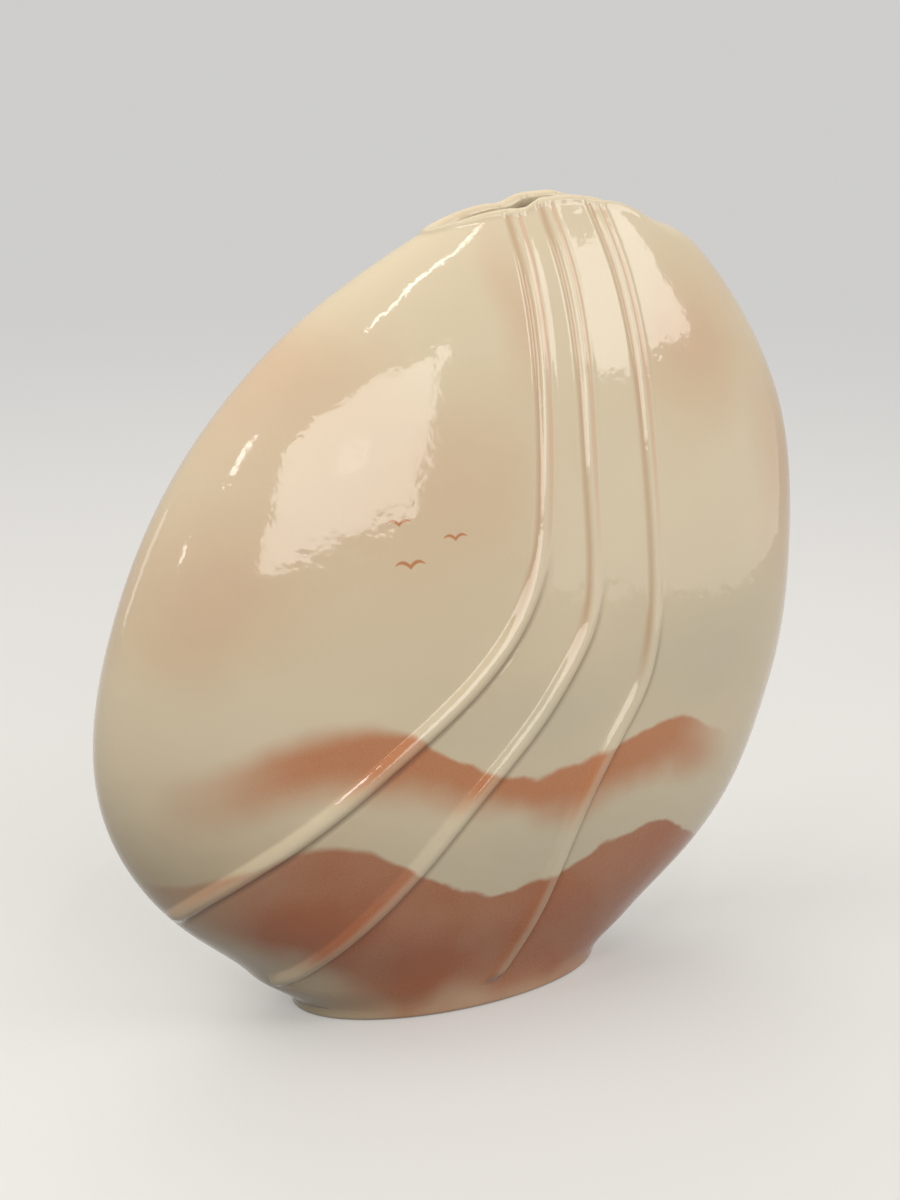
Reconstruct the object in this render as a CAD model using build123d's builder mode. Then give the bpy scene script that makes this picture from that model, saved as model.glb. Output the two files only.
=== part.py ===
"""Ceramic pillow vase: two pillow-shaped shells on an oval foot, with a wavy slit mouth at the
top and three soft folds that run down each face and fan out towards the lower left."""

import os
from math import hypot

from build123d import *

os.makedirs("parts", exist_ok=True)

# Overall sizes in millimetres: X runs across the vase, Y from front to rear, Z up from the table
height = 225.0
width = 217.0
belly_depth = 79.0
wall = 3.0

# Oval floor and the foot ring under it, a little left of the middle of the width
foot_width = 98.0
foot_depth = 48.0
foot_offset = -5.3
foot_height = 3.5
foot_wall = 6.0
foot_round = 2.0
floor_thickness = 3.5

# Depth of the wavy lip, from its highest wave to its right-hand end
lip_drop = 10.0

# Folds: widest breadth, stand-off from the skin, depth their edges sink below it before they are
# trimmed to it, and radius of the bend halfway down
fold_breadth = 7.0
fold_height = 2.0
fold_sink = 0.5
fold_bend = 45.0

# How far cutting shapes run past what they cut
overrun = 6.0

# Oval sections of the pillow above the floor: height as a share of the rise from floor to lip,
# left and right reach as shares of half the width, depth as a share of half the belly depth
outline_shares = [
    (0.04, -0.637, 0.555, 0.704),
    (0.10, -0.772, 0.687, 0.826),
    (0.18, -0.902, 0.827, 0.926),
    (0.27, -0.982, 0.911, 0.988),
    (0.38, -0.997, 0.976, 1.000),
    (0.50, -0.946, 0.999, 0.960),
    (0.61, -0.859, 0.994, 0.872),
    (0.72, -0.725, 0.947, 0.740),
    (0.81, -0.563, 0.859, 0.600),
    (0.89, -0.360, 0.744, 0.446),
    (0.95, -0.150, 0.621, 0.318),
    (1.00, 0.030, 0.480, 0.210),
    (1.02, 0.090, 0.422, 0.168),
]

# Wavy lip from left to right: place as a share of half the width, drop as a share of the lip's
lip_shares = [
    (-0.160, 0.62),
    (-0.040, 0.46),
    (0.045, 0.29),
    (0.110, 0.28),
    (0.145, 0.17),
    (0.180, 0.03),
    (0.230, 0.00),
    (0.285, 0.02),
    (0.330, 0.15),
    (0.385, 0.27),
    (0.425, 0.39),
    (0.460, 0.62),
    (0.505, 0.79),
    (0.560, 0.89),
    (0.680, 0.97),
]

# Fold lines as seen from the front, lip to lower end: shares of half the width and of the height
fold_shares = {
    "left": [(0.105, 1.00), (0.115, 0.88), (0.080, 0.54), (-0.835, 0.19)],
    "middle": [(0.200, 1.00), (0.228, 0.86), (0.205, 0.49), (-0.575, 0.075)],
    "right": [(0.335, 1.00), (0.395, 0.84), (0.386, 0.455), (-0.030, 0.045)],
}

# Swell of a fold along its line: place as a share of the length, size as a share of the widest
swell_shares = [
    (0.00, 0.70),
    (0.10, 0.70),
    (0.20, 0.72),
    (0.30, 0.78),
    (0.38, 0.86),
    (0.46, 0.95),
    (0.54, 1.00),
    (0.62, 1.00),
    (0.70, 1.00),
    (0.78, 0.98),
    (0.86, 0.90),
    (0.93, 0.72),
    (0.97, 0.52),
    (1.00, 0.30),
]

half_width = width / 2
floor_top = foot_height + floor_thickness
rise = height - floor_top

# Sections in millimetres: level, left reach, right reach and half depth, the foot's own oval first
outline = [(floor_top, foot_offset - foot_width / 2, foot_offset + foot_width / 2, foot_depth / 2)]
for level_share, left_share, right_share, depth_share in outline_shares:
    level = floor_top + level_share * rise
    outline.append((level, left_share * half_width, right_share * half_width, depth_share * belly_depth / 2))
crown = outline[-1][0]


def lean(index, column):
    """Length of the wall's level cut for a unit of its thickness, where the outline leans."""
    below = outline[max(index - 1, 0)]
    above = outline[min(index + 1, len(outline) - 1)]
    return hypot(1, (above[column] - below[column]) / (above[0] - below[0]))


# The pillow's full form, solid and closed over the mouth, which the folds are laid on
with BuildPart() as pillow:
    for level, left, right, depth in outline:
        with BuildSketch(Plane.XY.offset(level)):
            with Locations(((left + right) / 2, 0)):
                Ellipse((right - left) / 2, depth)
    loft()
skin = pillow.faces().sort_by(SortBy.AREA)[-1]

# What is cut away above the wavy lip
with BuildPart() as mouth_cut:
    with BuildSketch(Plane.XZ):
        with BuildLine():
            lip = Spline([(place * half_width, height - drop * lip_drop) for place, drop in lip_shares])
            top_left = ((lip @ 0).X, crown + overrun)
            top_right = ((lip @ 1).X, crown + overrun)
            Polyline(lip @ 0, top_left, top_right, lip @ 1)
        make_face()
    extrude(amount=belly_depth, both=True)

# Front and rear shells: half rings, one wall thick, that meet on the upright plane of the edge seam
shells = {}
for side, keep in (("front", Keep.TOP), ("rear", Keep.BOTTOM)):
    with BuildPart() as shell:
        for index, (level, left, right, depth) in enumerate(outline):
            inner_left = left + wall * lean(index, 1)
            inner_right = right - wall * lean(index, 2)
            inner_depth = depth - wall * lean(index, 3)
            with BuildSketch(Plane.XY.offset(level)):
                with Locations(((left + right) / 2, 0)):
                    Ellipse((right - left) / 2, depth)
                with Locations(((inner_left + inner_right) / 2, 0)):
                    Ellipse((inner_right - inner_left) / 2, inner_depth, mode=Mode.SUBTRACT)
                split(bisect_by=Plane.XZ, keep=keep)
        loft()
        add(mouth_cut.part, mode=Mode.SUBTRACT)
    shells[side] = shell.part
    shell.part.label = f"{side}_shell"
    export_step(shell.part, f"parts/{side}_shell.step")

# Oval floor that both shells stand on
with BuildPart() as floor_plate:
    with BuildSketch(Plane.XY.offset(foot_height)):
        with Locations((foot_offset, 0)):
            Ellipse(foot_width / 2, foot_depth / 2)
    extrude(amount=floor_thickness)
floor_plate.part.label = "floor_plate"
export_step(floor_plate.part, "parts/floor_plate.step")

# Foot ring under the floor's edge, rounded where it meets the table
with BuildPart() as foot_ring:
    with BuildSketch():
        with Locations((foot_offset, 0)):
            Ellipse(foot_width / 2, foot_depth / 2)
            Ellipse(foot_width / 2 - foot_wall, foot_depth / 2 - foot_wall, mode=Mode.SUBTRACT)
    extrude(amount=foot_height)
    fillet(foot_ring.edges().group_by(Axis.Z)[0], radius=foot_round)
foot_ring.part.label = "foot_ring"
export_step(foot_ring.part, "parts/foot_ring.step")


def seat(point, along, facing):
    """Plane across a fold on the skin of the face that looks along facing, with its Y axis outwards."""
    ray = Axis((point.X, facing * belly_depth, point.Z), (0, -facing, 0))
    place, normal = skin.find_intersection_points(ray)[0]
    tangent = along - normal * along.dot(normal)
    return Plane(place, x_dir=normal.cross(tangent), z_dir=tangent)


# Three folds on each face, laid on the skin, trimmed at the lip and fitted to the shell
for side, facing in (("front", -1), ("rear", 1)):
    for name, line_shares in fold_shares.items():
        with BuildLine(Plane.XZ) as line:
            FilletPolyline([(x * half_width, z * height) for x, z in line_shares], radius=fold_bend)
        path = line.wire()
        with BuildPart() as fold:
            for place_share, size_share in swell_shares:
                half_breadth = size_share * fold_breadth / 2
                with BuildSketch(seat(path @ place_share, path % place_share, facing)):
                    with BuildLine():
                        edge_left = (-half_breadth, -fold_sink)
                        edge_right = (half_breadth, -fold_sink)
                        ThreePointArc(edge_left, (0, size_share * fold_height), edge_right)
                        ThreePointArc(edge_right, (0, -2 * fold_sink), edge_left)
                    make_face()
            loft()
            add(mouth_cut.part, mode=Mode.SUBTRACT)
            add(shells[side], mode=Mode.SUBTRACT)
        fold.part.label = f"{side}_fold_{name}"
        export_step(fold.part, f"parts/{side}_fold_{name}.step")
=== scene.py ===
from math import cos, pi, radians, sin

import bpy
import numpy as np
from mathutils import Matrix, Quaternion, Vector


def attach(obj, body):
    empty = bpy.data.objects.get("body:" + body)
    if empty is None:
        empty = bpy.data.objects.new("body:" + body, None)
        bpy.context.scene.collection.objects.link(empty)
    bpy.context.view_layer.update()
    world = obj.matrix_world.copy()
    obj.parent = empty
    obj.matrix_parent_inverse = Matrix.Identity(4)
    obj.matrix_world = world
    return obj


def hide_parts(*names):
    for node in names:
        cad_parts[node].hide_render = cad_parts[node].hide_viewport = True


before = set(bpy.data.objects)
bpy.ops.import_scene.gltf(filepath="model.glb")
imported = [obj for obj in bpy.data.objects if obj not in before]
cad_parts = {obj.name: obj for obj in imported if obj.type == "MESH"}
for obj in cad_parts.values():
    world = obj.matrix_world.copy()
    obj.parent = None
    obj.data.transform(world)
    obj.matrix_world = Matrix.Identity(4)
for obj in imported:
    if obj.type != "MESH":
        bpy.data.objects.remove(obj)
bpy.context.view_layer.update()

# Front half of the pillow: a slip-cast clay wall, glazed all over, with three folds pressed out of it.
# It is rounded over at the wavy lip, stands on the floor plate and joins the rear half along the edge.
# Lengths in this section are millimetres until the vertices are placed.
wall = 3.0
lip_round = 1.7
floor_level = 7.0
top_level = 224.95
lip_drop = 10.0
smooth_angle = radians(60)

# Outline by level: left edge, right edge and half depth
outline = np.array([
    (0.8, -52.9, 43.0, 24.4),
    (3.6, -54.2, 44.3, 24.65),
    (7.0, -58.3, 47.9, 25.2),
    (11.0, -63.9, 53.5, 26.2),
    (15.7, -68.5, 58.9, 27.8),
    (28.8, -83.2, 74.5, 32.6),
    (46.2, -97.9, 89.7, 36.6),
    (65.9, -106.5, 98.8, 39.0),
    (89.8, -108.2, 105.9, 39.5),
    (116.0, -102.6, 108.4, 37.9),
    (140.0, -93.2, 107.8, 34.4),
    (164.0, -78.7, 102.7, 29.2),
    (183.6, -61.1, 93.2, 23.7),
    (201.0, -39.1, 80.7, 17.4),
    (214.1, -16.3, 67.4, 11.9),
    (225.0, 3.3, 52.1, 6.7),
    (229.4, 9.8, 45.8, 4.9),
])

# Wavy lip: place across and share of the drop below the highest wave
lip_wave = np.array([
    (-17.4, 0.80), (-11.0, 0.67), (-5.5, 0.53), (-0.5, 0.40), (3.7, 0.32), (8.0, 0.27), (12.5, 0.26),
    (15.2, 0.22), (17.4, 0.12), (19.6, 0.04), (22.5, 0.01), (26.5, 0.00), (30.5, 0.00), (33.0, 0.04),
    (35.3, 0.11), (38.0, 0.17), (41.8, 0.21), (45.5, 0.27), (49.0, 0.38), (52.7, 0.56), (56.0, 0.72),
    (59.5, 0.88), (63.0, 1.01), (67.0, 1.19), (70.0, 1.38), (72.5, 1.58), (75.0, 1.80), (78.0, 2.10),
])

# Crest of each fold from the foot up: level and place across; the bend and the lower end by level
folds = [
    {"bend": 121.0, "end": 36.0, "taper": 5.0, "crest": np.array([
        (7.0, -51.0), (15.7, -66.0), (28.0, -81.0), (37.5, -90.3), (43.5, -89.2), (50.0, -83.5), (63.5, -66.0),
        (84.0, -39.1), (103.0, -15.1), (121.0, -0.1), (147.0, 7.9), (172.0, 10.9), (200.0, 12.8),
        (222.0, 11.9), (229.4, 11.6)])},
    {"bend": 111.0, "end": 11.5, "taper": 5.0, "crest": np.array([
        (7.0, -44.0), (12.5, -61.5), (18.0, -60.8), (24.0, -56.0), (32.0, -49.1), (50.0, -33.1), (70.0, -16.1),
        (90.0, 2.9), (102.0, 12.2), (113.0, 18.9), (127.0, 21.9), (153.0, 22.9), (190.0, 24.9),
        (210.0, 23.9), (223.0, 21.9), (229.4, 21.4)])},
    {"bend": 101.0, "end": 6.6, "taper": 5.5, "crest": np.array([
        (7.0, -3.8), (13.0, -0.8), (27.0, 5.1), (42.0, 10.4), (62.0, 18.1), (82.0, 29.6), (92.0, 36.0),
        (106.0, 40.8), (128.0, 42.6), (160.0, 42.8), (190.0, 42.6), (208.0, 40.5), (222.0, 37.2),
        (229.4, 35.6)])},
]


def through(points, at):
    """Smooth line through given points (level, value), read at other levels."""
    levels, values = points[:, 0], points[:, 1]
    gap = np.diff(levels)
    slope = np.diff(values) / gap
    last = len(levels) - 1
    system, pull = np.eye(last + 1), np.zeros(last + 1)
    for i in range(1, last):
        system[i, i - 1:i + 2] = gap[i - 1], 2 * (gap[i - 1] + gap[i]), gap[i]
        pull[i] = 6 * (slope[i] - slope[i - 1])
    bend = np.linalg.solve(system, pull)
    i = np.clip(np.searchsorted(levels, at) - 1, 0, last - 1)
    s = at - levels[i]
    rise = slope[i] - gap[i] * (2 * bend[i] + bend[i + 1]) / 6
    return values[i] + s * rise + s**2 * bend[i] / 2 + s**3 * (bend[i + 1] - bend[i]) / (6 * gap[i])


def edge_at(column, z):
    """Left edge, right edge or half depth of the pillow at a level."""
    return through(outline[:, [0, column]], z)


def section_at(z, inset=0.0):
    """Middle, half width and half depth of the oval at a level, moved in by a wall thickness."""
    left, right, depth = (
        edge_at(column, z) + side * inset * np.hypot(1, (edge_at(column, z + 0.5) - edge_at(column, z - 0.5)))
        for column, side in ((1, 1), (2, -1), (3, -1))
    )
    return (left + right) / 2, (right - left) / 2, depth


def ease(low, high, value):
    """Soft step from 0 at low to 1 at high."""
    share = np.clip((value - low) / (high - low), 0, 1)
    return share * share * (3 - 2 * share)


def hump(distance, left, right):
    """Rounded ridge across a fold: 1 at its crest and 0 at its left and right reach."""
    reach = np.where(distance < 0, left, right)
    return np.where(np.abs(distance) < reach, 0.5 + 0.5 * np.cos(pi * distance / reach), 0)


def crest_angle(fold, z):
    """Place of a fold's crest round the oval, from 0 at the left edge to pi at the right edge."""
    middle, reach, depth = section_at(z)
    return np.arccos(np.clip((middle - through(fold["crest"], z)) / reach, -0.999, 0.999))


# Lines of vertices beside each crest, in millimetres across it, and the plain lines between the folds
beside = np.array([
    -7.0, -6.0, -5.2, -4.5, -4.0, -3.6, -3.2, -2.8, -2.4, -2.0, -1.6, -1.2, -0.85, -0.5, -0.2, 0.1, 0.4,
    0.75, 1.1, 1.5, 1.9, 2.25, 2.6, 2.95, 3.25, 3.5, 3.75, 4.0, 4.4, 4.9, 5.5, 6.2, 7.0,
])
plain_left, plain_between, plain_right = 36, 5, 27
seam_step = 0.004

# Share of the room beside each fold that its own lines may take, so that neighbours never cross
room_left_shares, room_right_shares = (0.75, 0.6, 0.6), (0.36, 0.36, 0.75)


def columns_at(z):
    """Angle round the oval of every column of vertices, and its distance across each fold."""
    middle, reach, depth = section_at(z)
    angle = [crest_angle(fold, z) for fold in folds]
    near = [np.zeros_like(z)] + angle + [np.full_like(z, pi)]
    rays, across = [], []
    for number, fold in enumerate(folds):
        here = angle[number]
        ahead, behind = crest_angle(fold, z + 0.5), crest_angle(fold, z - 0.5)
        speed = np.hypot(reach * np.sin(here), depth * np.cos(here))
        up, down = section_at(z + 0.5), section_at(z - 0.5)
        run_x = (up[0] - up[1] * np.cos(ahead)) - (down[0] - down[1] * np.cos(behind))
        run_y = -up[2] * np.sin(ahead) + down[2] * np.sin(behind)
        along = (run_x * reach * np.sin(here) - run_y * depth * np.cos(here)) / speed
        slant = np.sqrt(1 - along**2 / (run_x**2 + run_y**2 + 1))
        per_mm = 1 / (speed * slant)
        room_left = (here - near[number]) * room_left_shares[number]
        room_right = (near[number + 2] - here) * room_right_shares[number]
        reach_mm = beside[-1]
        scale_left = np.minimum(1, room_left / (reach_mm * per_mm))
        scale_right = np.minimum(1, room_right / (reach_mm * per_mm))
        distance = [d * (scale_left if d < 0 else scale_right) for d in beside]
        rays.append([here + d * per_mm for d in distance])
        across.append(distance)
    columns = [near[0], seam_step * np.ones_like(z)]
    columns += [seam_step + (rays[0][0] - seam_step) * i / plain_left for i in range(1, plain_left)]
    owner = [None] * len(columns)
    for number in range(3):
        columns += rays[number]
        owner += [(number, k) for k in range(len(beside))]
        if number < 2:
            gap = rays[number + 1][0] - rays[number][-1]
            columns += [rays[number][-1] + gap * i / plain_between for i in range(1, plain_between)]
            owner += [None] * (plain_between - 1)
    gap = pi - seam_step - rays[2][-1]
    columns += [rays[2][-1] + gap * i / plain_right for i in range(1, plain_right + 1)] + [near[-1]]
    owner += [None] * (plain_right + 1)
    return columns, across, owner


def columns_of(z):
    """The same for a sheet of levels: one level for each row and column."""
    columns, across, owner = columns_at(z)
    angle = np.stack([columns[i][:, i] for i in range(z.shape[1])], axis=1)
    distance = np.full(z.shape, 1e3)
    number, share = np.full(z.shape[1], -1), np.ones(z.shape[1])
    for i, mark in enumerate(owner):
        if mark is not None:
            distance[:, i] = across[mark[0]][mark[1]][:, i]
            number[i] = mark[0]
            share[i] = abs(beside[mark[1]]) / beside[-1]
    return angle, distance, number, share


columns_across = len(columns_at(np.array([100.0]))[0])
lip_place = np.full((1, columns_across), top_level - lip_drop / 2)
slit_end, slit_taper, edge_round, edge_spread = 60.0, 14.0, 5.0, 6.0
lip_steps, lip_pace = 60, 0.3
for step in range(lip_steps):
    angle = columns_of(lip_place)[0]
    middle, reach, depth = section_at(lip_place)
    here = middle - reach * np.cos(angle)
    # Past the right end of the slit the halves close over into one rounded edge that leans with the wall
    shut = ease(slit_end - slit_taper, slit_end, here)
    closed_rise = edge_round * ease(0.0, edge_spread, depth * np.sin(angle))
    edge_rise = lip_round + (closed_rise - lip_round) * shut
    over = section_at(lip_place + edge_rise)
    lean = shut * (over[0] - over[1] * np.cos(angle) - here)
    settled = top_level - lip_drop * through(lip_wave, here + lean) - edge_rise
    lip_place = (1 - lip_pace) * lip_place + lip_pace * settled

# Rows of vertices from floor to lip, closer together at both ends
climb = np.concatenate([
    np.linspace(0, 0.03, 10), np.linspace(0.03, 0.96, 140)[1:], np.linspace(0.96, 1, 10)[1:]])
level = floor_level + (lip_place - floor_level) * climb[:, None]
angle, distance, number, share = columns_of(level)
fold_window = ease(1.0, 0.86, share)[None, :]
middle, reach, depth = section_at(level)
skin = np.stack([middle - reach * np.cos(angle), -depth * np.sin(angle), level], axis=2)

# Outward direction of the plain pillow, and how far each fold lifts it
above, below = section_at(level + 0.5), section_at(level - 0.5)
across_run = np.stack([reach * np.sin(angle), -depth * np.cos(angle), np.zeros_like(angle)], axis=2)
upward_run = np.stack([
    above[0] - below[0] - (above[1] - below[1]) * np.cos(angle),
    -(above[2] - below[2]) * np.sin(angle),
    np.ones_like(angle),
], axis=2)
outward = np.cross(across_run, upward_run)
outward /= np.linalg.norm(outward, axis=2, keepdims=True)

# Above its bend a fold is a sharp double pleat, and below it a round bead with a crease on its right
pleat_shape = np.array([
    (-7.0, 0.0), (-5.4, 0.02), (-4.4, 0.06), (-3.7, 0.08), (-3.2, -0.02), (-2.6, -0.27), (-1.9, -0.37),
    (-1.3, -0.25), (-0.7, 0.10), (-0.1, 0.34), (0.4, 0.35), (0.9, 0.22), (1.4, 0.15), (1.9, 0.19),
    (2.3, 0.25), (2.8, 0.18), (3.5, 0.05), (4.4, 0.0), (7.0, 0.0),
])
pleat_low, pleat_from, pleat_full = 0.55, 140, 180
bend_above, bend_below = 20, 12
bead_height, bead_left, bead_right, crease_place, crease_end = 1.75, 3.2, 2.4, 2.65, 4.7
bead_blend, bead_power = 0.02, 2.4
lift, flank, ridge_highlight_and_thin_glaze, groove_pool_and_shade, crease_shade = (np.zeros_like(level) for mark in range(5))
for fold_number, fold in enumerate(folds):
    mine = number[None, :] == fold_number
    low = ease(fold["bend"] + bend_above, fold["bend"] - bend_below, level)
    size = ease(fold["end"], fold["end"] + fold["taper"], level) * fold_window
    pleat = through(pleat_shape, distance)
    pleat = pleat * (pleat_low + (1 - pleat_low) * ease(pleat_from, pleat_full, level))
    round_left = 1 - (distance / bead_left) ** 2
    round_left = (round_left + np.sqrt(round_left**2 + bead_blend)) / 2
    round_right = 1 - (np.clip(distance, 0, crease_place) / bead_right) ** bead_power
    round_right = round_right * (1 - ease(crease_place, crease_end, distance))
    bead = bead_height * np.where(distance < 0, round_left, round_right)
    lift += np.where(mine, size * ((1 - low) * pleat + low * bead), 0)
    peach = ease(0.5, 0.8, distance) * ease(2.2, 1.9, distance) * ease(125, 160, level)
    flank += np.where(mine, size * (1 - low) * peach, 0)
    # Ridge mark: pale edges and bead crest, partly thin glaze and partly painted highlight lines
    edges = hump(distance, 0.9, 0.7) + 0.6 * hump(distance - 2.3, 0.5, 0.6)
    ridge_highlight_and_thin_glaze += np.where(mine, size * ((1 - low) * edges + low * hump(distance, 2.5, 2.0)), 0)
    # Groove mark: tan that is partly glaze pooled in the groove and partly painted shade
    trough = (1 - low) * hump(distance + 1.9, 1.9, 1.5)
    trough = trough + 2.0 * low * (1 - low) * hump(distance + 2.2, 2.4, 2.2)
    groove_pool_and_shade += np.where(mine, size * trough, 0)
    # Crease mark: painted shade in the crease under each bead
    crease_shade += np.where(mine, size * low * hump(distance - crease_place, 0.8, 1.5), 0)
outward[:, :, 2] *= ease(1.0, 0.97, climb)[:, None]
outside = skin + outward * lift[:, :, None]

# Inner wall, which follows the folds and closes up near the top, and the rounded lip between the two
descent = np.concatenate([np.linspace(1, 0.94, 8), np.linspace(0.94, 0, 56)[1:]])
inner_level = floor_level + (lip_place - floor_level) * descent[:, None]
inner_angle = columns_of(inner_level)[0]
middle, reach, depth = section_at(inner_level, inset=wall)
inside = np.stack([middle - reach * np.cos(inner_angle), -depth * np.sin(inner_angle), inner_level], axis=2)
follow = ease(0.955, 1.0, descent)[:, None, None]
inside += outward[-1:] * lift[-1:, :, None] * follow
top_follow = shut * ease(0.97, 1.0, descent)[:, None]
inside[:, :, 0] += (outside[-1:, :, 0] + lean - inside[:, :, 0]) * top_follow
inside[:, :, 1] *= 1 - shut * ease(0.93, 0.97, descent)[:, None]
inside[:, :, 2] += edge_rise * top_follow
turn = np.linspace(0, 1, 11)[1:-1, None]
half = [(outside[-1:, :, axis] + inside[:1, :, axis]) / 2 for axis in range(3)]
open_lip = np.stack([
    half[axis] + (outside[-1:, :, axis] - half[axis]) * np.cos(pi * turn) for axis in range(3)], axis=2)
open_lip[:, :, 2] += edge_rise * (1 - shut / 2) * np.sin(pi * turn)
left_over = 1 - turn
shut_lip = np.stack([
    outside[-1:, :, 0] + lean * (1 - left_over**2),
    outside[-1:, :, 1] * (left_over**2 + 2 * turn * left_over * 0.78),
    outside[-1:, :, 2] + edge_rise * (1 - left_over**2),
], axis=2)
lip = open_lip + (shut_lip - open_lip) * shut[:, :, None]
sheet = np.concatenate([outside, lip, inside])
still = np.zeros((len(lip) + len(inside), columns_across))
sheet[:, [0, -1], 1] = 0

bpy.ops.object.select_all(action="DESELECT")
bpy.ops.mesh.primitive_grid_add(x_subdivisions=columns_across - 1, y_subdivisions=len(sheet) - 1, size=1)
front_half = bpy.context.object
front_half.name = "front_half"
start = np.empty(len(front_half.data.vertices) * 3)
front_half.data.vertices.foreach_get("co", start)
start = start.reshape(-1, 3) + 0.5
column = np.rint(start[:, 0] * (columns_across - 1)).astype(int)
row = np.rint(start[:, 1] * (len(sheet) - 1)).astype(int)
front_half.data.vertices.foreach_set("co", (sheet[row, column] / 1000).ravel())
# Marks for the glaze colour: peach flank, ridge (thin glaze and painted highlight), groove (pooled glaze and
# painted shade), crease (painted shade)
for name, values in (
    ("fold_flank", flank), ("fold_ridge_highlight_and_thin_glaze", ridge_highlight_and_thin_glaze), ("fold_groove_pool_and_shade", groove_pool_and_shade), ("fold_crease_shade", crease_shade),
):
    marks = front_half.data.attributes.new(name, "FLOAT", "POINT")
    marks.data.foreach_set("value", np.concatenate([values, still])[row, column])
front_half.data.update()

# Close the foot end and the two edges where the halves meet
foot_slack, weld = 0.0001, 0.00001
bpy.ops.object.mode_set(mode="EDIT")
bpy.ops.mesh.select_mode(type="EDGE")
bpy.ops.mesh.select_all(action="SELECT")
bpy.ops.mesh.remove_doubles(threshold=weld)
bpy.ops.mesh.select_all(action="DESELECT")
bpy.ops.object.mode_set(mode="OBJECT")
for edge in front_half.data.edges:
    ends = [front_half.data.vertices[v].co for v in edge.vertices]
    edge.select = all(abs(end.z - floor_level / 1000) < foot_slack for end in ends)
bpy.ops.object.mode_set(mode="EDIT")
bpy.ops.mesh.mark_sharp()
bpy.ops.mesh.bridge_edge_loops()
bpy.ops.mesh.select_all(action="SELECT")
bpy.ops.mesh.fill_holes(sides=0)
bpy.ops.mesh.select_all(action="SELECT")
bpy.ops.mesh.normals_make_consistent(inside=False)
bpy.ops.object.mode_set(mode="OBJECT")
bpy.ops.object.shade_smooth_by_angle(angle=smooth_angle)
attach(front_half, "root")
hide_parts("front_shell", "front_fold_left", "front_fold_middle", "front_fold_right")


def srgb(red, green, blue):
    """A colour given on a 0 to 255 scale, as the linear colour that a shader takes."""
    parts = [part / 255 for part in (red, green, blue)]
    return [p / 12.92 if p <= 0.04045 else ((p + 0.055) / 1.055) ** 2.4 for p in parts] + [1.0]


def node(tree, kind, inputs=None, **options):
    """Adds a node with its options, and sets each input or joins it to another node's output."""
    made = tree.nodes.new(kind)
    for option, value in options.items():
        setattr(made, option, value)
    for socket, value in (inputs or {}).items():
        if isinstance(value, bpy.types.NodeSocket):
            tree.links.new(value, made.inputs[socket])
        else:
            made.inputs[socket].default_value = value
    return made


def sums(tree, operation, first, second=0.0, third=0.0):
    """One step of arithmetic."""
    made = node(tree, "ShaderNodeMath", {0: first, 1: second, 2: third}, operation=operation)
    return made.outputs[0]


def fade(tree, value, low, high, to_low=0.0, to_high=1.0):
    """Soft step of a value from one level to another."""
    steps = {"Value": value, "From Min": low, "From Max": high, "To Min": to_low, "To Max": to_high}
    return node(tree, "ShaderNodeMapRange", steps, interpolation_type="SMOOTHSTEP").outputs[0]


def tint(tree, amount, under, over):
    """Lays one colour over another by a mask."""
    return node(tree, "ShaderNodeMix", {0: amount, 6: under, 7: over}, data_type="RGBA").outputs[2]


def group(name, inputs, outputs):
    """An empty effect with named sockets, and its inner ends."""
    tree = bpy.data.node_groups.new(name, "ShaderNodeTree")
    for socket, kind, value in inputs:
        made = tree.interface.new_socket(socket, in_out="INPUT", socket_type=kind)
        if value is not None:
            made.default_value = value
    for socket, kind in outputs:
        tree.interface.new_socket(socket, in_out="OUTPUT", socket_type=kind)
    return tree, node(tree, "NodeGroupInput").outputs, node(tree, "NodeGroupOutput").inputs


# Soft round cloud, widest at its reach across and up, which lays sprayed stain and, low on the left, painted
# shade
cloud, given, result = group(
    "soft_round_cloud",
    [("Vector", "NodeSocketVector", None), ("Across", "NodeSocketFloat", 0.0), ("Up", "NodeSocketFloat", 0.1),
     ("Reach Across", "NodeSocketFloat", 0.03), ("Reach Up", "NodeSocketFloat", 0.03)],
    [("Mask", "NodeSocketFloat")],
)
place = node(cloud, "ShaderNodeSeparateXYZ", {0: given["Vector"]}).outputs
side = sums(cloud, "DIVIDE", sums(cloud, "SUBTRACT", place[0], given["Across"]), given["Reach Across"])
rise = sums(cloud, "DIVIDE", sums(cloud, "SUBTRACT", place[2], given["Up"]), given["Reach Up"])
away = sums(cloud, "SQRT", sums(cloud, "MULTIPLY_ADD", side, side, sums(cloud, "MULTIPLY", rise, rise)))
cloud.links.new(fade(cloud, away, 1.0, 0.0), result["Mask"])

# Range of misty hills: sprayed along a torn paper edge, strongest at the crest and fading below it
hills, given, result = group(
    "misty_hills",
    [("Vector", "NodeSocketVector", None), ("Peak", "NodeSocketFloat", -0.05), ("Wave", "NodeSocketFloat", 0.1),
     ("Level", "NodeSocketFloat", 0.08), ("Tilt", "NodeSocketFloat", -0.14), ("Rise", "NodeSocketFloat", 0.008),
     ("Left Drop", "NodeSocketFloat", 0.005), ("Left Blur", "NodeSocketFloat", 0.0)],
    [("Edge", "NodeSocketFloat"), ("Below", "NodeSocketFloat")],
)
place = node(hills, "ShaderNodeSeparateXYZ", {0: given["Vector"]}).outputs
wave = sums(hills, "DIVIDE", sums(hills, "SUBTRACT", place[0], given["Peak"]), given["Wave"])
wave = sums(hills, "COSINE", sums(hills, "MULTIPLY", wave, 2 * pi))
crest = sums(hills, "MULTIPLY_ADD", place[0], given["Tilt"], given["Level"])
crest = sums(hills, "MULTIPLY_ADD", wave, given["Rise"], crest)
left_end = fade(hills, place[0], -0.055, -0.100)
crest = sums(hills, "SUBTRACT", crest, sums(hills, "MULTIPLY", left_end, given["Left Drop"]))
calm = fade(hills, place[0], -0.062, -0.018, 0.35, 1.0)
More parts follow.
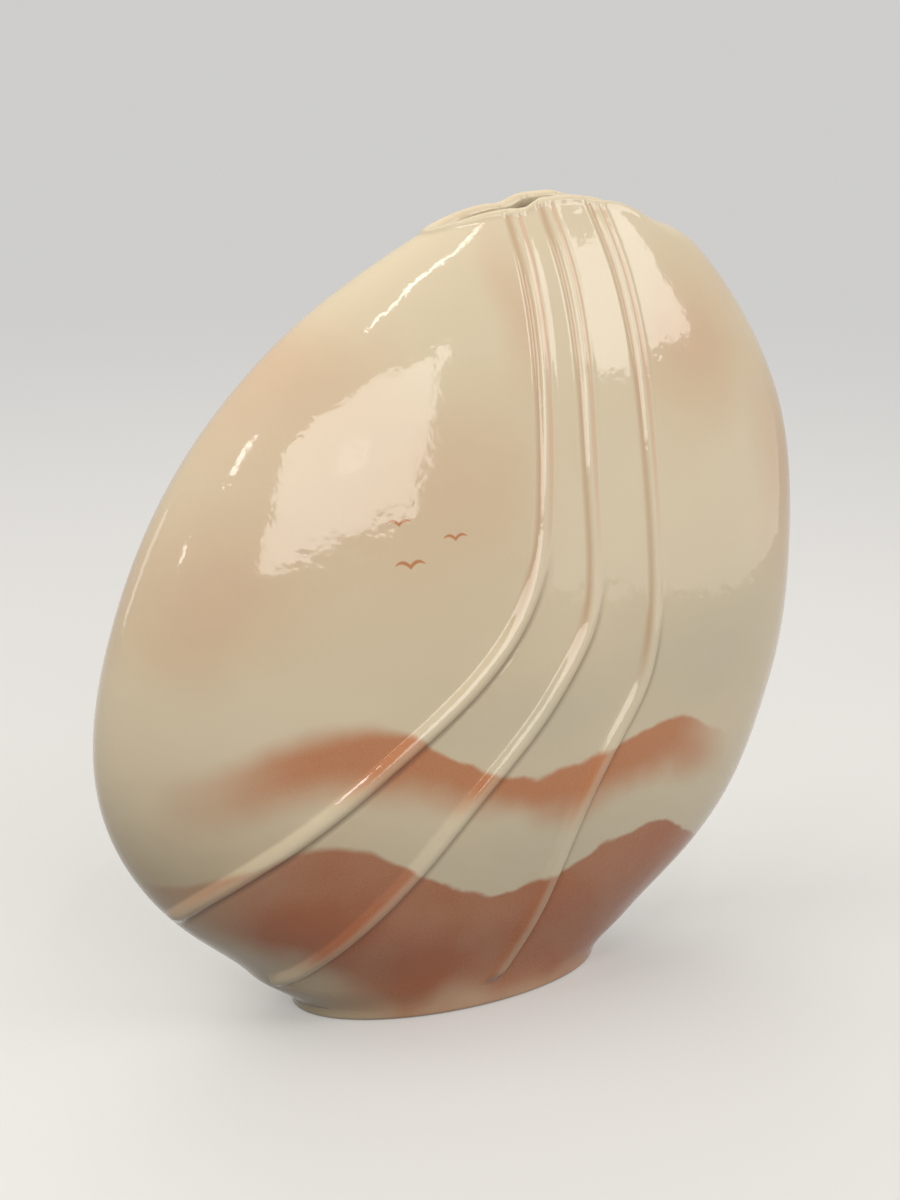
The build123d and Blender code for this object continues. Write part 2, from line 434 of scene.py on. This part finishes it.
for scale, size in ((38.0, 0.009), (150.0, 0.0020), (500.0, 0.0005)):
    grain = {"Vector": given["Vector"], "Scale": scale, "Detail": 2.0}
    torn = node(hills, "ShaderNodeTexNoise", grain).outputs[0]
    torn = sums(hills, "MULTIPLY", sums(hills, "SUBTRACT", torn, 0.5), calm)
    crest = sums(hills, "MULTIPLY_ADD", torn, size, crest)
below_crest = sums(hills, "SUBTRACT", crest, place[2])
blur = sums(hills, "MULTIPLY_ADD", fade(hills, place[0], -0.028, -0.062), given["Left Blur"], 0.0015)
hills.links.new(fade(hills, below_crest, -0.0003, blur), result["Edge"])
hills.links.new(below_crest, result["Below"])

# Small gull drawn with two strokes of a fine brush
gull, given, result = group(
    "gull_strokes",
    [("Vector", "NodeSocketVector", None), ("Across", "NodeSocketFloat", 0.0), ("Up", "NodeSocketFloat", 0.14),
     ("Wing", "NodeSocketFloat", 0.0035)],
    [("Mask", "NodeSocketFloat")],
)
place = node(gull, "ShaderNodeSeparateXYZ", {0: given["Vector"]}).outputs
wing = sums(gull, "ABSOLUTE", sums(gull, "SUBTRACT", place[0], given["Across"]))
wing = sums(gull, "DIVIDE", wing, given["Wing"])
arch = sums(gull, "MULTIPLY", wing, sums(gull, "SUBTRACT", 1.12, wing))
arch = sums(gull, "MULTIPLY", arch, given["Wing"])
off = sums(gull, "ABSOLUTE", sums(gull, "SUBTRACT", sums(gull, "SUBTRACT", place[2], given["Up"]), arch))
brush = sums(gull, "SQRT", sums(gull, "MAXIMUM", sums(gull, "SUBTRACT", 1.0, wing), 0.0))
brush = sums(gull, "MULTIPLY", sums(gull, "MULTIPLY", brush, given["Wing"]), 0.15)
stroke = fade(gull, sums(gull, "SUBTRACT", off, brush), 0.0002, -0.0002)
gull.links.new(sums(gull, "MULTIPLY", stroke, fade(gull, wing, 1.02, 0.94)), result["Mask"])

# Fired glaze: the slow waves that bend its reflections, and its own faint unevenness of gloss
sheen, given, result = group(
    "glaze_surface",
    [("Vector", "NodeSocketVector", None)],
    [("Height", "NodeSocketFloat"), ("Roughness", "NodeSocketFloat")],
)
height = 0.0
for scale, size in ((55.0, 1.0), (130.0, 0.6), (420.0, 0.2)):
    ripple = {"Vector": given["Vector"], "Scale": scale, "Detail": 1.0}
    wave = node(sheen, "ShaderNodeTexNoise", ripple).outputs[0]
    height = sums(sheen, "MULTIPLY_ADD", wave, size, height)
sheen.links.new(height, result["Height"])
sheen.links.new(fade(sheen, height, 0.6, 1.1, 0.045, 0.085), result["Roughness"])


def effect(tree, made, inputs):
    """Places a shared effect in a material."""
    return node(tree, "ShaderNodeGroup", inputs, node_tree=made).outputs


cream = srgb(219, 202, 170)
blush = srgb(217, 187, 155)
cool = srgb(203, 194, 171)
# Painted shade, laid low on the left of the front face
painted_shade_tan = srgb(203, 185, 152)
pale = srgb(228, 214, 186)
peach_line = srgb(222, 187, 158)
tan = srgb(192, 154, 117)
shade = srgb(104, 80, 60)
coral = srgb(196, 126, 80)
deep_coral = srgb(176, 102, 60)
gull_brown = srgb(198, 134, 88)

painted_glaze = bpy.data.materials.new("painted_glaze")
painted_glaze.use_nodes = True
tree = painted_glaze.node_tree
shader = tree.nodes["Principled BSDF"]
place = node(tree, "ShaderNodeTexCoord").outputs["Object"]
noise = node(tree, "ShaderNodeTexNoise", {"Vector": place, "Scale": 22.0, "Detail": 2.0}).outputs[1]
drift = node(tree, "ShaderNodeVectorMath", {0: noise, 1: (0.5, 0.5, 0.5)}, operation="SUBTRACT").outputs[0]
drift = node(tree, "ShaderNodeVectorMath", {0: drift, "Scale": 0.03}, operation="SCALE").outputs[0]
drift = node(tree, "ShaderNodeVectorMath", {0: place, 1: drift}, operation="ADD").outputs[0]
grain = node(tree, "ShaderNodeTexNoise", {"Vector": place, "Scale": 2600.0, "Detail": 1.0}).outputs[0]
spray = fade(tree, grain, 0.25, 0.75, 0.95, 1.05)
clouding = node(tree, "ShaderNodeTexNoise", {"Vector": place, "Scale": 14.0}).outputs[0]
colour = tint(tree, clouding, cream, pale)


def soft_cloud(tree, drift, across, up, reach_across, reach_up):
    """Mask of one soft cloud, in metres across and up the face."""
    spot = {"Vector": drift, "Across": across, "Up": up, "Reach Across": reach_across, "Reach Up": reach_up}
    return effect(tree, cloud, spot)["Mask"]


# Clouds of colour: strength, place across and up, reach across and up. The two dusk-tan clouds low on the left
# are painted shade, darker towards the lower left corner
for over, strength, *spot in (
    (cool, 0.7, 0.064, 0.102, 0.052, 0.036),
    (painted_shade_tan, 0.8, -0.085, 0.045, 0.060, 0.048),
    (painted_shade_tan, 0.8, -0.050, 0.004, 0.045, 0.024),
    (cool, 0.6, 0.010, 0.052, 0.090, 0.030),
    (cool, 0.6, 0.010, 0.090, 0.060, 0.026),
    (blush, 0.5, -0.052, 0.142, 0.066, 0.050),
    (blush, 0.8, -0.060, 0.184, 0.046, 0.030),
    (blush, 0.8, -0.080, 0.128, 0.038, 0.036),
    (blush, 0.6, -0.016, 0.154, 0.044, 0.038),
    (blush, 0.7, 0.0065, 0.196, 0.010, 0.034),
    (blush, 0.9, 0.062, 0.180, 0.036, 0.040),
    (blush, 0.9, 0.098, 0.145, 0.024, 0.052),
):
    amount = sums(tree, "MULTIPLY", soft_cloud(tree, drift, *spot), strength)
    colour = tint(tree, sums(tree, "MULTIPLY", amount, spray), colour, over)

flank_mark, ridge_highlight_and_thin_glaze_mark, groove_pool_and_shade_mark, crease_shade_mark = (
    node(tree, "ShaderNodeAttribute", attribute_name=name).outputs["Fac"]
    for name in ("fold_flank", "fold_ridge_highlight_and_thin_glaze", "fold_groove_pool_and_shade", "fold_crease_shade"))
# Tan in the grooves is partly pooled glaze and partly painted shade; pale on the ridges is partly thin glaze
# and partly a painted highlight
for mark, strength, over in ((groove_pool_and_shade_mark, 0.6, tan), (flank_mark, 0.7, peach_line), (ridge_highlight_and_thin_glaze_mark, 0.45, pale)):
    colour = tint(tree, sums(tree, "MULTIPLY", mark, strength), colour, over)
# Paint thinned on the ridges, partly as wear and partly as a painted highlight on their lit flank
worn_and_highlit = fade(tree, ridge_highlight_and_thin_glaze_mark, 0.0, 1.0, 1.0, 0.66)

# Two ranges of hills on the front face, the lower one deeper in colour, with the paint thinner on the ridges,
# partly as wear and partly as a painted highlight
axes = node(tree, "ShaderNodeSeparateXYZ", {0: place}).outputs
front = fade(tree, axes[1], -0.002, -0.009)
spray = sums(tree, "MULTIPLY", sums(tree, "MULTIPLY", spray, worn_and_highlit), front)
clouds = node(tree, "ShaderNodeTexNoise", {"Vector": place, "Scale": 34.0, "Detail": 2.0}).outputs[0]
drift_x = node(tree, "ShaderNodeSeparateXYZ", {0: drift}).outputs[0]
upper = effect(tree, hills, {
    "Vector": place, "Peak": -0.051, "Wave": 0.103, "Level": 0.0820, "Tilt": -0.166, "Rise": 0.0070,
    "Left Drop": 0.004, "Left Blur": 0.008})
deeper = sums(tree, "MULTIPLY", fade(tree, drift_x, -0.020, -0.042), 0.005)
thin_spot = soft_cloud(tree, drift, -0.010, 0.064, 0.022, 0.022)
deeper = sums(tree, "MULTIPLY_ADD", thin_spot, -0.005, deeper)
mist = fade(tree, sums(tree, "SUBTRACT", upper["Below"], deeper), 0.022, 0.007, 0.0, 0.95)
ends = sums(tree, "MULTIPLY", fade(tree, drift_x, -0.104, -0.058), fade(tree, drift_x, 0.080, 0.044))
amount = sums(tree, "MULTIPLY", upper["Edge"], mist)
amount = sums(tree, "MULTIPLY", amount, sums(tree, "MULTIPLY", ends, spray))
colour = tint(tree, amount, colour, coral)
lower = effect(tree, hills, {
    "Vector": place, "Peak": -0.0560, "Wave": 0.0985, "Level": 0.0472, "Tilt": -0.124, "Rise": 0.0083,
    "Left Drop": 0.001, "Left Blur": 0.001})
mottle = fade(tree, clouds, 0.3, 0.7, 0.84, 0.96)
for strength, *spot in (
    (0.14, -0.061, 0.034, 0.030, 0.016),
    (0.14, -0.026, 0.013, 0.026, 0.016),
    (-0.16, -0.014, 0.002, 0.028, 0.010),
    (-0.14, 0.012, 0.003, 0.014, 0.014),
):
    mottle = sums(tree, "MULTIPLY_ADD", soft_cloud(tree, drift, *spot), strength, mottle)
drift_z = node(tree, "ShaderNodeSeparateXYZ", {0: drift}).outputs[2]
corner = sums(tree, "MULTIPLY_ADD", drift_x, 0.82, drift_z)
corner = fade(tree, corner, -0.037, -0.021, 0.06, 1.0)
left_end = fade(tree, drift_x, -0.100, -0.060, 0.28, 1.0)
amount = sums(tree, "MULTIPLY", sums(tree, "MULTIPLY", lower["Edge"], mottle), spray)
amount = sums(tree, "MULTIPLY", amount, sums(tree, "MULTIPLY", corner, left_end))
amount = sums(tree, "MULTIPLY", amount, fade(tree, drift_z, 0.0, 0.007, 0.75, 1.0))
amount = sums(tree, "MINIMUM", amount, 1.0)
colour = tint(tree, amount, colour, deep_coral)
# Painted shade: the crease under each bead is darkened where its shadow falls
colour = tint(tree, sums(tree, "MULTIPLY", crease_shade_mark, 0.5), colour, shade)

# Three gulls: place across and up, and the length of a wing
for across, up, wing in ((-0.034, 0.1465, 0.0034), (-0.0190, 0.1415, 0.0034), (-0.0320, 0.1355, 0.0042)):
    strokes = effect(tree, gull, {"Vector": place, "Across": across, "Up": up, "Wing": wing})["Mask"]
    colour = tint(tree, sums(tree, "MULTIPLY", strokes, front), colour, gull_brown)

surface = effect(tree, sheen, {"Vector": place})
wavy = node(tree, "ShaderNodeBump", {"Height": surface["Height"], "Distance": 0.0002, "Strength": 1.0})
tree.links.new(colour, shader.inputs["Base Color"])
tree.links.new(surface["Roughness"], shader.inputs["Roughness"])
tree.links.new(wavy.outputs[0], shader.inputs["Normal"])
shader.inputs["IOR"].default_value = 1.52
front_half.data.materials.append(painted_glaze)

# Rear half of the pillow: the same wall cast in the other side of the mould, with folds to match.
# It is glazed with the front in one dip, so the seam between them doesn't show.
bpy.ops.object.select_all(action="DESELECT")
front_half.select_set(True)
bpy.context.view_layer.objects.active = front_half
bpy.ops.object.duplicate()
rear_half = bpy.context.object
rear_half.name = "rear_half"
bpy.ops.object.mode_set(mode="EDIT")
bpy.ops.mesh.select_all(action="SELECT")
bpy.ops.transform.resize(value=(1, -1, 1), center_override=(0, 0, 0))
bpy.ops.mesh.normals_make_consistent(inside=False)
bpy.ops.object.mode_set(mode="OBJECT")
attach(rear_half, "root")
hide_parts("rear_shell", "rear_fold_left", "rear_fold_middle", "rear_fold_right")

# Floor plate: the oval slab that closes the vase below, fused under both halves.
# It is glazed with them and follows their lean, so that no step shows.
foot_sides = 192


def oval_wall(name, ovals):
    """Draws an oval and extrudes it from level to level: level, left, right and half depth in millimetres."""
    bpy.ops.object.select_all(action="DESELECT")
    bpy.ops.mesh.primitive_circle_add(vertices=foot_sides, radius=0.001)
    made = bpy.context.object
    made.name = name
    bpy.ops.object.mode_set(mode="EDIT")
    bpy.ops.mesh.select_all(action="SELECT")
    before = (0.0, -1.0, 1.0, 1.0)
    for step, oval in enumerate(ovals):
        if step > 0:
            bpy.ops.mesh.extrude_edges_move()
        was, now = (before[1] + before[2]) / 2000, (oval[1] + oval[2]) / 2000
        wider = (oval[2] - oval[1]) / (before[2] - before[1])
        bpy.ops.transform.resize(value=(wider, oval[3] / before[3], 1), center_override=(was, 0, 0))
        bpy.ops.transform.translate(value=(now - was, 0, (oval[0] - before[0]) / 1000))
        before = oval
    return made


def ovals_at(levels):
    """Ovals of the pillow's own outline at some levels."""
    return [(z, edge_at(1, z), edge_at(2, z), edge_at(3, z)) for z in levels]


floor_slab = oval_wall("floor_slab", ovals_at((7.0, 6.1, 5.2, 4.3, 3.5)))
bpy.ops.mesh.select_all(action="SELECT")
bpy.ops.mesh.fill_holes(sides=0)
bpy.ops.mesh.select_all(action="SELECT")
bpy.ops.mesh.normals_make_consistent(inside=False)
bpy.ops.object.mode_set(mode="OBJECT")
bpy.ops.object.shade_smooth_by_angle(angle=smooth_angle)
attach(floor_slab, "root")
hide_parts("floor_plate")
floor_slab.data.materials.append(painted_glaze)

# Foot ring: the low oval rim under the floor plate, rounded over at its outer edge.
# The glaze is wiped off where it stands on the table, which leaves bare fired clay.
rim_side = ovals_at((3.5, 2.9, 2.4, 1.9, 1.4, 0.8))
foot_rim = oval_wall("foot_rim", rim_side + [
    (0.4, -52.7, 42.8, 24.2), (0.12, -52.3, 42.4, 23.8), (0.0, -51.7, 41.8, 23.2),
    (0.0, -47.4, 35.6, 19.4), (0.2, -46.8, 35.0, 18.8), (0.8, -46.2, 34.4, 18.3), (3.5, -45.8, 34.0, 18.0),
    rim_side[0],
])
bpy.ops.mesh.select_all(action="SELECT")
bpy.ops.mesh.remove_doubles(threshold=weld)
bpy.ops.mesh.normals_make_consistent(inside=False)
bpy.ops.object.mode_set(mode="OBJECT")
bpy.ops.object.shade_smooth_by_angle(angle=smooth_angle)
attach(foot_rim, "root")
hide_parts("foot_ring")

wiped_foot = bpy.data.materials.new("wiped_foot")
wiped_foot.use_nodes = True
tree = wiped_foot.node_tree
shader = tree.nodes["Principled BSDF"]
place = node(tree, "ShaderNodeTexCoord").outputs["Object"]
grit = node(tree, "ShaderNodeTexNoise", {"Vector": place, "Scale": 2600.0, "Detail": 3.0}).outputs[0]
stain = node(tree, "ShaderNodeTexNoise", {"Vector": place, "Scale": 120.0, "Detail": 2.0}).outputs[0]
clay = tint(tree, stain, srgb(206, 190, 166), srgb(182, 162, 136))
clay = tint(tree, sums(tree, "MULTIPLY", grit, 0.4), clay, srgb(160, 140, 116))
tree.links.new(clay, shader.inputs["Base Color"])
tree.links.new(fade(tree, grit, 0.2, 0.8, 0.75, 0.95), shader.inputs["Roughness"])
rough = node(tree, "ShaderNodeBump", {"Height": grit, "Distance": 0.0001, "Strength": 1.0})
tree.links.new(rough.outputs[0], shader.inputs["Normal"])
foot_rim.data.materials.append(painted_glaze)
foot_rim.data.materials.append(wiped_foot)
wiped_below = 0.00021
for face in foot_rim.data.polygons:
    face.material_index = int(all(foot_rim.data.vertices[v].co.z < wiped_below for v in face.vertices))

# Stage: a plain pale table of matt board that runs back into a plain pale room.
# Both are seen at their pale colour, straight and in the glaze, but throw little light on the vase.
backdrop_colour = (0.62, 0.615, 0.605, 1)


def seen_directly(tree):
    """1 for what the camera sees, straight, mirrored or through glass, and 0 for light on other things."""
    rays = node(tree, "ShaderNodeLightPath").outputs
    mirrored = sums(tree, "MAXIMUM", rays["Is Glossy Ray"], rays["Is Transmission Ray"])
    return sums(tree, "MAXIMUM", rays["Is Camera Ray"], mirrored)


bpy.ops.object.select_all(action="DESELECT")
bpy.ops.mesh.primitive_plane_add(size=24)
table = bpy.context.object
table.name = "pale_table"
matt = bpy.data.materials.new("pale_table")
matt.use_nodes = True
tree = matt.node_tree
shader = tree.nodes["Principled BSDF"]
shader.inputs["Roughness"].default_value = 0.9
shader.inputs["Specular IOR Level"].default_value = 0.2
place = node(tree, "ShaderNodeTexCoord").outputs["Object"]
away = node(tree, "ShaderNodeVectorMath", {0: place}, operation="LENGTH")
seen = seen_directly(tree)
board = tint(tree, seen, (0.075, 0.066, 0.054, 1), (0.82, 0.81, 0.79, 1))
tree.links.new(board, shader.inputs["Base Color"])
glow = node(tree, "ShaderNodeEmission", {"Color": backdrop_colour, "Strength": 1.0})
mixed = node(tree, "ShaderNodeMixShader", {
    0: sums(tree, "MULTIPLY", seen, fade(tree, away.outputs["Value"], 0.1, 1.2, 0.35, 1.0)),
    1: shader.outputs[0], 2: glow.outputs[0]})
tree.links.new(mixed.outputs[0], tree.nodes["Material Output"].inputs["Surface"])
table.data.materials.append(matt)

world = bpy.data.worlds.new("pale_room")
bpy.context.scene.world = world
world.use_nodes = True
tree = world.node_tree
seen = seen_directly(tree)
room = tree.nodes["Background"]
room.inputs["Color"].default_value = (1.0, 0.98, 0.95, 1)
direction = node(tree, "ShaderNodeTexCoord").outputs["Generated"]
sky = node(tree, "ShaderNodeSeparateXYZ", {0: direction}).outputs[2]
tree.links.new(fade(tree, sky, -0.05, 0.92, 0.04, 0.65), room.inputs["Strength"])
backdrop = node(tree, "ShaderNodeBackground", {"Color": backdrop_colour, "Strength": 1.0})
mixed = node(tree, "ShaderNodeMixShader", {0: seen, 1: room.outputs[0], 2: backdrop.outputs[0]})
tree.links.new(mixed.outputs[0], tree.nodes["World Output"].inputs["Surface"])


def toward(azimuth, elevation):
    """Direction from the vase, with azimuth 0 at its front."""
    a, e = radians(azimuth), radians(elevation)
    return Vector((sin(a) * cos(e), -cos(a) * cos(e), sin(e)))


# Soft studio light: two window-shaped boxes in front, thin strips, a pale card low on the right that
# fades upwards, and broad fills from the left and from behind that leave no reflection.
# Each lamp: direction and roll in degrees, distance, breadth and height in metres, and radiance.
aim = Vector((0, 0, 0.12))
warm_white = (1.0, 0.97, 0.92)
for name, azimuth, elevation, roll, away, across, up, radiance in (
    ("window_box", -6.6, 23.2, 0, 1.6, 0.92, 0.66, 4.2),
    ("window_bulb", -4.3, 22.5, 0, 1.55, 0.12, 0.12, 0.9),
    ("side_box", 49, 26.4, 0, 1.6, 0.67, 0.54, 4.1),
    ("top_strip", -9.5, 56, 59, 1.6, 0.28, 0.07, 11.0),
    ("crown_strip", 2.5, 61, 11, 1.6, 0.22, 0.07, 11.0),
    ("left_strip", -52, 37.5, 0, 1.6, 0.12, 0.26, 11.0),
    ("left_glint", -67, 21.5, 0, 1.6, 0.10, 0.13, 11.0),
    ("rim_strip", -128, 13, 0, 1.6, 0.25, 0.50, 2.0),
    ("right_card", 63, 4.5, -13, 0.55, 0.72, 0.31, 0.9),
    ("left_fill", -95, 50, 0, 1.4, 1.0, 1.0, 2.4),
    ("rear_fill", 168, 40, 0, 1.6, 1.2, 1.2, 1.7),
):
    bpy.ops.object.light_add(type="AREA")
    lamp = bpy.context.object
    lamp.name = name
    lamp.data.shape = "ELLIPSE" if name == "window_bulb" else "RECTANGLE"
    lamp.data.size, lamp.data.size_y = across, up
    lamp.data.energy = radiance * pi * across * up
    lamp.data.color = warm_white
    lamp.location = aim + toward(azimuth, elevation) * away
    turned = Quaternion((0, 0, 1), radians(roll))
    facing = toward(azimuth, elevation).to_track_quat("Z", "Y") @ turned
    lamp.rotation_euler = facing.to_euler()
    lamp.visible_glossy = name not in ("left_fill", "rear_fill")
    if name == "right_card":
        lamp.data.use_nodes = True
        tree = lamp.data.node_tree
        spread = node(tree, "ShaderNodeNewGeometry").outputs["Parametric"]
        upward = node(tree, "ShaderNodeSeparateXYZ", {0: spread}).outputs[1]
        tree.links.new(fade(tree, upward, 0.1, 1.0, 1.0, 0.0), tree.nodes["Emission"].inputs["Strength"])

# Camera at the photograph's angle: a little left of the front and above the middle,
# near enough for the lip and the foot to show the lens's perspective.
view_azimuth, view_elevation, view_distance = -27.73, 16.97, 0.6515
view_target = Vector((-0.00339, 0, 0.1138))
camera = bpy.data.objects.new("camera", bpy.data.cameras.new("camera"))
bpy.context.collection.objects.link(camera)
camera.data.lens = 70
camera.data.sensor_width = 36
camera.data.clip_start = 0.01
camera.location = view_target + toward(view_azimuth, view_elevation) * view_distance
camera.rotation_euler = toward(view_azimuth, view_elevation).to_track_quat("Z", "Y").to_euler()
bpy.context.scene.camera = camera
bpy.context.scene.view_settings.view_transform = "Standard"
